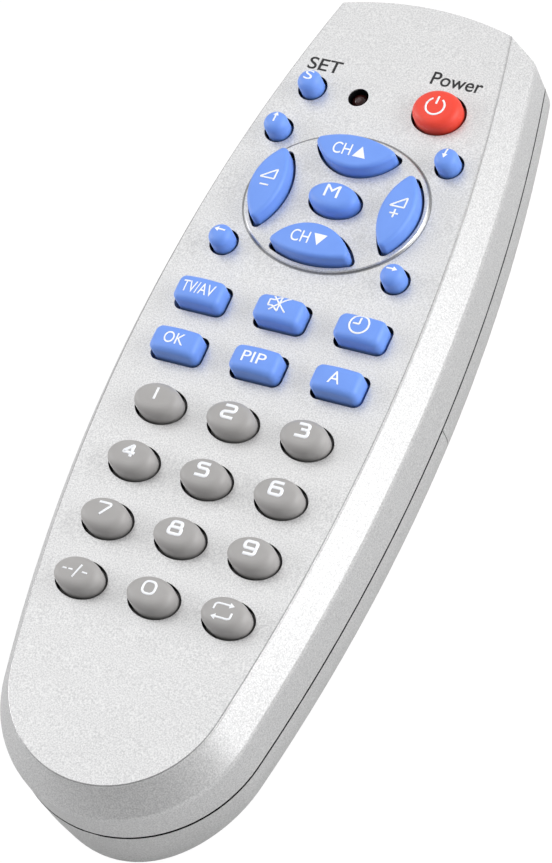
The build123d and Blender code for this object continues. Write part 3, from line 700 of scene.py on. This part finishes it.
# %% Build the comb tree
def comb_tree():
    """A tree that puts a row of carbon fingers on every point of a mesh."""
    tree = bpy.data.node_groups.new("carbon_combs", "GeometryNodeTree")
    tree.interface.new_socket("Places", in_out="INPUT", socket_type="NodeSocketGeometry")
    for name, kind in (("Finger length", "Float"), ("Finger width", "Float"), ("Pitch", "Float"),
                       ("Film", "Float"), ("Fingers", "Int"), ("Ink", "Material")):
        tree.interface.new_socket(name, in_out="INPUT", socket_type=f"NodeSocket{kind}")
    tree.interface.new_socket("Combs", in_out="OUTPUT", socket_type="NodeSocketGeometry")
    given = add(tree, "NodeGroupInput").outputs
    size = add(tree, "ShaderNodeCombineXYZ", {
        "X": given["Finger width"], "Y": given["Finger length"], "Z": given["Film"]})
    finger = add(tree, "GeometryNodeMeshCube", {"Size": size.outputs["Vector"]})
    last = add(tree, "ShaderNodeMath", {0: given["Fingers"], 1: 1.0}, operation="SUBTRACT")
    span = add(tree, "ShaderNodeMath", {0: last.outputs[0], 1: given["Pitch"]},
               operation="MULTIPLY")
    half = add(tree, "ShaderNodeMath", {0: span.outputs[0], 1: -0.5}, operation="MULTIPLY")
    first_place = add(tree, "ShaderNodeCombineXYZ", {"X": half.outputs[0]})
    step = add(tree, "ShaderNodeCombineXYZ", {"X": given["Pitch"]})
    row = add(tree, "GeometryNodeMeshLine", {
        "Count": given["Fingers"], "Start Location": first_place.outputs["Vector"],
        "Offset": step.outputs["Vector"]}, mode="OFFSET")
    comb = add(tree, "GeometryNodeInstanceOnPoints", {
        "Points": row.outputs["Mesh"], "Instance": finger.outputs["Mesh"]})
    combs = add(tree, "GeometryNodeInstanceOnPoints", {
        "Points": given["Places"], "Instance": comb.outputs["Instances"]})
    real = add(tree, "GeometryNodeRealizeInstances", {"Geometry": combs.outputs["Instances"]})
    inked = add(tree, "GeometryNodeSetMaterial", {
        "Geometry": real.outputs["Geometry"], "Material": given["Ink"]})
    add(tree, "NodeGroupOutput", {"Combs": inked.outputs["Geometry"]})
    return tree


comb_nodes = comb_tree()
print("comb tree nodes", len(comb_nodes.nodes))

# %% Print a comb under every key
comb_lift = 0.02 * mm
comb_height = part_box("circuit_board")[1][2] + comb_lift
spots = bpy.data.meshes.new("key_places")
spots.from_pydata([(*centre(n), comb_height) for n in nodes if n.startswith("key_")], [], [])
places = bpy.data.objects.new("key_places", spots)
bpy.context.collection.objects.link(places)
combs = made_plain("carbon_combs", places, comb_nodes, {
    "Finger length": 1.8 * mm, "Finger width": 0.25 * mm, "Pitch": 0.5 * mm, "Film": 0.03 * mm,
    "Fingers": 4, "Ink": carbon})
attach(combs, "case")
print("comb faces", len(combs.data.polygons))

# %% [markdown]
# ## Table and sky
# The picture's background is pure white. Rays that come straight from the camera see the table
# and the sky as white, and the table keeps a little of the real shadow. Other rays see a plain pale
# table and a dimmer sky, so that the lamps can model the object. The table lies a hair lower than
# the remote's flat back, because two faces in one plane would show as stripes from below.

# %% Table
table_radius, table_drop = 3.0, 0.05 * mm
glow_strength, glow_share = 1.12, 0.85
bpy.ops.mesh.primitive_circle_add(
    vertices=64, radius=table_radius, fill_type="NGON", location=(0, 0, -table_drop))
table = bpy.context.object
table.name = "table_top"
paper = bpy.data.materials.new("white_paper")
paper.use_nodes = True
tree = paper.node_tree
tree.nodes.clear()
matt = add(tree, "ShaderNodeBsdfDiffuse", {"Color": linear("CDCDCD")})
glow = add(tree, "ShaderNodeEmission", {"Color": (1, 1, 1, 1), "Strength": glow_strength})
seen = add(tree, "ShaderNodeLightPath").outputs["Is Camera Ray"]
share = add(tree, "ShaderNodeMath", {0: seen, 1: glow_share}, operation="MULTIPLY")
mixed = add(tree, "ShaderNodeMixShader", {
    0: share.outputs[0], 1: matt.outputs["BSDF"], 2: glow.outputs["Emission"]})
add(tree, "ShaderNodeOutputMaterial", {"Surface": mixed.outputs["Shader"]})
table.data.materials.append(paper)
print("table", table.name)

# %% Sky, brighter beyond the front end than behind the camera
near_light, far_light, seen_light = 0.26, 0.60, 1.1
world = bpy.data.worlds.new("studio")
bpy.context.scene.world = world
world.use_nodes = True
tree = world.node_tree
sky = tree.nodes["Background"]
sky.inputs["Color"].default_value = (1, 1, 1, 1)
way = add(tree, "ShaderNodeSeparateXYZ", {
    "Vector": add(tree, "ShaderNodeTexCoord").outputs["Generated"]})
fade = add(tree, "ShaderNodeMapRange", {
    "Value": way.outputs["Y"], "From Min": -1.0, "To Min": near_light, "To Max": far_light})
seen = add(tree, "ShaderNodeLightPath").outputs["Is Camera Ray"]
level = add(tree, "ShaderNodeMix", {"Factor": seen, 2: fade.outputs["Result"], 3: seen_light})
tree.links.new(level.outputs[0], sky.inputs["Strength"])
print("sky", near_light, far_light)

# %% [markdown]
# ## Lamps
# The main light is a soft panel on the right, about 26 degrees above the table. It stands between
# square on and the mirror direction of the right shoulder, which makes that shoulder the brightest
# band. A large weaker panel on the left and beyond is what the flat face mirrors, and a small low
# one lifts the left edge and the rear end.

# %% Lamps
def panel(name, place, width, depth, power):
    """A soft panel that faces the remote, from its place and size in metres and watts."""
    lamp = bpy.data.lights.new(name, "AREA")
    lamp.shape = "RECTANGLE"
    lamp.size, lamp.size_y = width, depth
    lamp.energy = power
    holder = bpy.data.objects.new(name, lamp)
    holder.matrix_world = Matrix.Translation(place) @ (
        -Vector(place)).to_track_quat("-Z", "Y").to_matrix().to_4x4()
    bpy.context.collection.objects.link(holder)


panel("right_panel", (0.9, 0.24, 0.45), 0.9, 0.4, 10.4)
panel("left_panel", (-0.52, 0.33, 1.02), 1.1, 1.1, 3.6)
panel("left_fill", (-1.0, -0.12, 0.42), 0.5, 0.5, 7.0)
print("lamps", 3)

# %% [markdown]
# ## Camera
# The photograph was taken with a long lens from above, to the right of the rear end, and the
# camera was turned so that the remote leans to the right in the picture.

# %% Camera
eye = Vector((249.5, -214.85, 502.4)) * mm
look_at = Vector((2.85, -3.3, 15.0)) * mm
lean = radians(-29.9)
camera_data = bpy.data.cameras.new("camera")
camera_data.lens = 168.1
camera_data.sensor_width = 36.0
camera = bpy.data.objects.new("camera", camera_data)
camera.matrix_world = (Matrix.Translation(eye)
                       @ (look_at - eye).to_track_quat("-Z", "Y").to_matrix().to_4x4()
                       @ Matrix.Rotation(lean, 4, "Z"))
bpy.context.collection.objects.link(camera)
bpy.context.scene.camera = camera
bpy.context.scene.view_settings.view_transform = "Standard"
print("camera", [round(v, 4) for v in eye])
